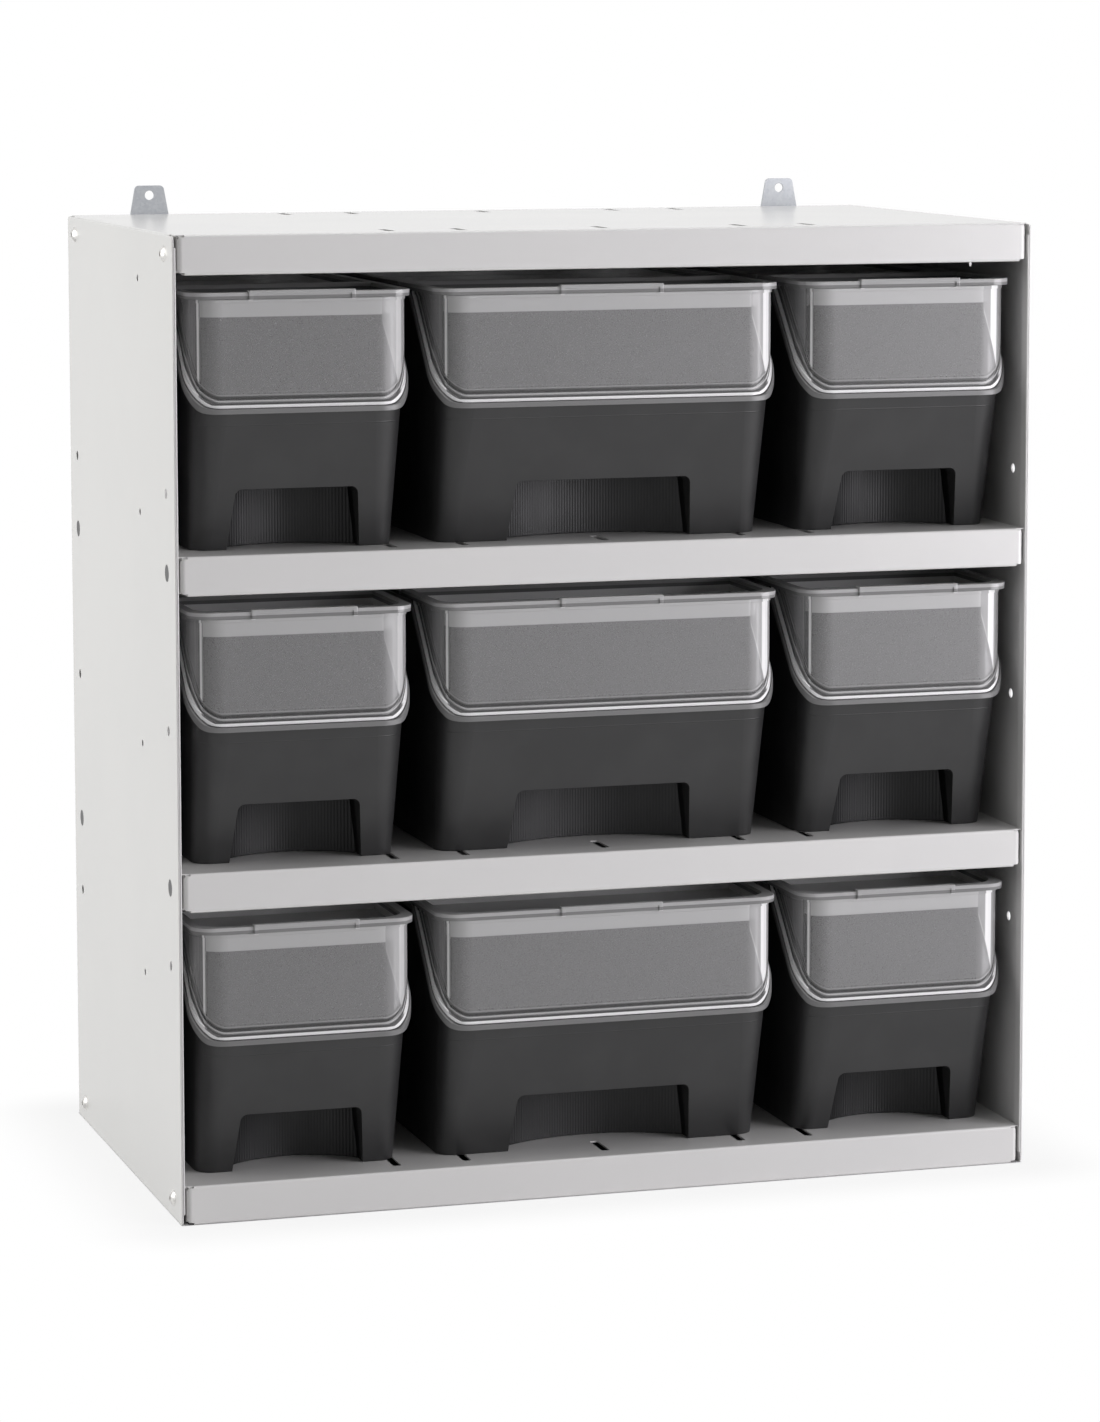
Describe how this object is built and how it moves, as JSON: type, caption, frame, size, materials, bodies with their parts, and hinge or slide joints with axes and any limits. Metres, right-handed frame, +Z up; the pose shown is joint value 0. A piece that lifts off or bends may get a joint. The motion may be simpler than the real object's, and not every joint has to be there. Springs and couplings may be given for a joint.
{
  "type": "bin rack",
  "caption": "Wall or bench rack of folded sheet steel with shelves that hold pull-out plastic bins with clear fronts and hinged clear lids.",
  "frame": {"origin": "on the floor plane, midway between the sides and midway through the overall depth", "axes": "+Z up, +X to the right seen from the front, +Y to the back; bins pull out along -Y"},
  "size_m": [0.7382, 0.4236, 0.825],
  "materials": {
    "painted_sheet": "light grey powder coat, semi-gloss",
    "galvanised_steel": "zinc coated strap",
    "zinc_steel": "bright zinc plated",
    "rivet_aluminium": "plain",
    "dark_plastic": "moulded, satin",
    "bin_plastic": "dark grey moulded, satin",
    "clear_plastic": "clear moulded, glossy"
  },
  "bodies": {
    "rack": {"bottom_shelf": "painted_sheet", "lower_shelf": "painted_sheet", "upper_shelf": "painted_sheet", "top_panel": "painted_sheet", "left_side_panel": "painted_sheet", "right_side_panel": "painted_sheet", "back_panel": "painted_sheet", "left_wall_bracket": "galvanised_steel", "right_wall_bracket": "galvanised_steel", "side_screws": "zinc_steel", "weld_nuts": "zinc_steel", "shelf_studs": "dark_plastic", "back_panel_rivets": "rivet_aluminium", "bracket_rivets": "rivet_aluminium"},
    "bottom_left_bin": {"bottom_left_bin_tub": "bin_plastic", "bottom_left_bin_hood": "clear_plastic", "bottom_left_bin_rear_cover": "clear_plastic"},
    "bottom_left_lid": {"bottom_left_bin_flap_lid": "clear_plastic"},
    "bottom_centre_bin": {"bottom_centre_bin_tub": "bin_plastic", "bottom_centre_bin_hood": "clear_plastic", "bottom_centre_bin_rear_cover": "clear_plastic"},
    "bottom_centre_lid": {"bottom_centre_bin_flap_lid": "clear_plastic"},
    "bottom_right_bin": {"bottom_right_bin_tub": "bin_plastic", "bottom_right_bin_hood": "clear_plastic", "bottom_right_bin_rear_cover": "clear_plastic"},
    "bottom_right_lid": {"bottom_right_bin_flap_lid": "clear_plastic"},
    "middle_left_bin": {"middle_left_bin_tub": "bin_plastic", "middle_left_bin_hood": "clear_plastic", "middle_left_bin_rear_cover": "clear_plastic"},
    "middle_left_lid": {"middle_left_bin_flap_lid": "clear_plastic"},
    "middle_centre_bin": {"middle_centre_bin_tub": "bin_plastic", "middle_centre_bin_hood": "clear_plastic", "middle_centre_bin_rear_cover": "clear_plastic"},
    "middle_centre_lid": {"middle_centre_bin_flap_lid": "clear_plastic"},
    "middle_right_bin": {"middle_right_bin_tub": "bin_plastic", "middle_right_bin_hood": "clear_plastic", "middle_right_bin_rear_cover": "clear_plastic"},
    "middle_right_lid": {"middle_right_bin_flap_lid": "clear_plastic"},
    "top_left_bin": {"top_left_bin_tub": "bin_plastic", "top_left_bin_hood": "clear_plastic", "top_left_bin_rear_cover": "clear_plastic"},
    "top_left_lid": {"top_left_bin_flap_lid": "clear_plastic"},
    "top_centre_bin": {"top_centre_bin_tub": "bin_plastic", "top_centre_bin_hood": "clear_plastic", "top_centre_bin_rear_cover": "clear_plastic"},
    "top_centre_lid": {"top_centre_bin_flap_lid": "clear_plastic"},
    "top_right_bin": {"top_right_bin_tub": "bin_plastic", "top_right_bin_hood": "clear_plastic", "top_right_bin_rear_cover": "clear_plastic"},
    "top_right_lid": {"top_right_bin_flap_lid": "clear_plastic"}
  },
  "joints": [
    {"name": "bottom_left_bin_slide", "type": "slide", "parent": "rack", "child": "bottom_left_bin", "axis": [0, -1, 0], "range_m": [0, 0.2]},
    {"name": "bottom_left_lid_hinge", "type": "hinge", "parent": "bottom_left_bin", "child": "bottom_left_lid", "pos_m": [-0.2595, -0.08985, 0.2388], "axis": [-1, 0, 0], "range_deg": [0, 5]},
    {"name": "bottom_centre_bin_slide", "type": "slide", "parent": "rack", "child": "bottom_centre_bin", "axis": [0, -1, 0], "range_m": [0, 0.2]},
    {"name": "bottom_centre_lid_hinge", "type": "hinge", "parent": "bottom_centre_bin", "child": "bottom_centre_lid", "pos_m": [0, -0.08985, 0.2388], "axis": [-1, 0, 0], "range_deg": [0, 5]},
    {"name": "bottom_right_bin_slide", "type": "slide", "parent": "rack", "child": "bottom_right_bin", "axis": [0, -1, 0], "range_m": [0, 0.2]},
    {"name": "bottom_right_lid_hinge", "type": "hinge", "parent": "bottom_right_bin", "child": "bottom_right_lid", "pos_m": [0.2595, -0.08985, 0.2388], "axis": [-1, 0, 0], "range_deg": [0, 5]},
    {"name": "middle_left_bin_slide", "type": "slide", "parent": "rack", "child": "middle_left_bin", "axis": [0, -1, 0], "range_m": [0, 0.2]},
    {"name": "middle_left_lid_hinge", "type": "hinge", "parent": "middle_left_bin", "child": "middle_left_lid", "pos_m": [-0.2595, -0.08985, 0.4948], "axis": [-1, 0, 0], "range_deg": [0, 5]},
    {"name": "middle_centre_bin_slide", "type": "slide", "parent": "rack", "child": "middle_centre_bin", "axis": [0, -1, 0], "range_m": [0, 0.2]},
    {"name": "middle_centre_lid_hinge", "type": "hinge", "parent": "middle_centre_bin", "child": "middle_centre_lid", "pos_m": [0, -0.08985, 0.4948], "axis": [-1, 0, 0], "range_deg": [0, 5]},
    {"name": "middle_right_bin_slide", "type": "slide", "parent": "rack", "child": "middle_right_bin", "axis": [0, -1, 0], "range_m": [0, 0.2]},
    {"name": "middle_right_lid_hinge", "type": "hinge", "parent": "middle_right_bin", "child": "middle_right_lid", "pos_m": [0.2595, -0.08985, 0.4948], "axis": [-1, 0, 0], "range_deg": [0, 5]},
    {"name": "top_left_bin_slide", "type": "slide", "parent": "rack", "child": "top_left_bin", "axis": [0, -1, 0], "range_m": [0, 0.2]},
    {"name": "top_left_lid_hinge", "type": "hinge", "parent": "top_left_bin", "child": "top_left_lid", "pos_m": [-0.2595, -0.08985, 0.7508], "axis": [-1, 0, 0], "range_deg": [0, 5]},
    {"name": "top_centre_bin_slide", "type": "slide", "parent": "rack", "child": "top_centre_bin", "axis": [0, -1, 0], "range_m": [0, 0.2]},
    {"name": "top_centre_lid_hinge", "type": "hinge", "parent": "top_centre_bin", "child": "top_centre_lid", "pos_m": [0, -0.08985, 0.7508], "axis": [-1, 0, 0], "range_deg": [0, 5]},
    {"name": "top_right_bin_slide", "type": "slide", "parent": "rack", "child": "top_right_bin", "axis": [0, -1, 0], "range_m": [0, 0.2]},
    {"name": "top_right_lid_hinge", "type": "hinge", "parent": "top_right_bin", "child": "top_right_lid", "pos_m": [0.2595, -0.08985, 0.7508], "axis": [-1, 0, 0], "range_deg": [0, 5]}
  ]
}
